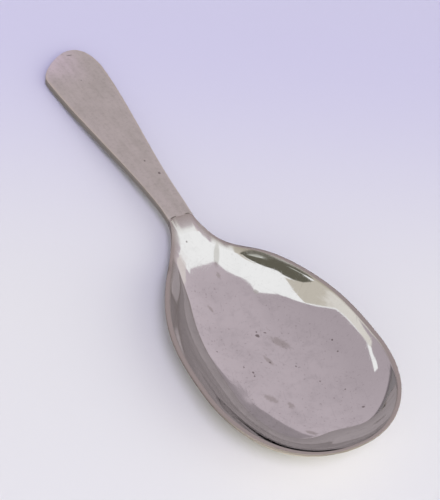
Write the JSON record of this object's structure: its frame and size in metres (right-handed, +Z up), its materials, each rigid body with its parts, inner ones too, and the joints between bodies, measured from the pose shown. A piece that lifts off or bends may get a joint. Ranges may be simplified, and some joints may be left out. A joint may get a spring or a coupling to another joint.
{
  "type": "caddy spoon",
  "caption": "Short silver spoon for a tea caddy: an egg-shaped, flat-floored bowl and a flat handle that widens to a rounded end.",
  "frame": {"origin": "middle of the spoon's footprint, on the surface that it rests on", "axes": "+X from the handle's end to the bowl's tip, +Y to the left seen from the handle, +Z up"},
  "size_m": [0.0922, 0.0292, 0.0084],
  "materials": {
    "polished_silver": "polished silver, softly worn, with fine scratches and pits",
    "satin_silver": "satin silver, worn lengthwise",
    "silver_solder": "filed hard solder"
  },
  "bodies": {
    "root": {"bowl": "polished_silver", "handle": "satin_silver", "solder_seam": "silver_solder"}
  },
  "joints": []
}
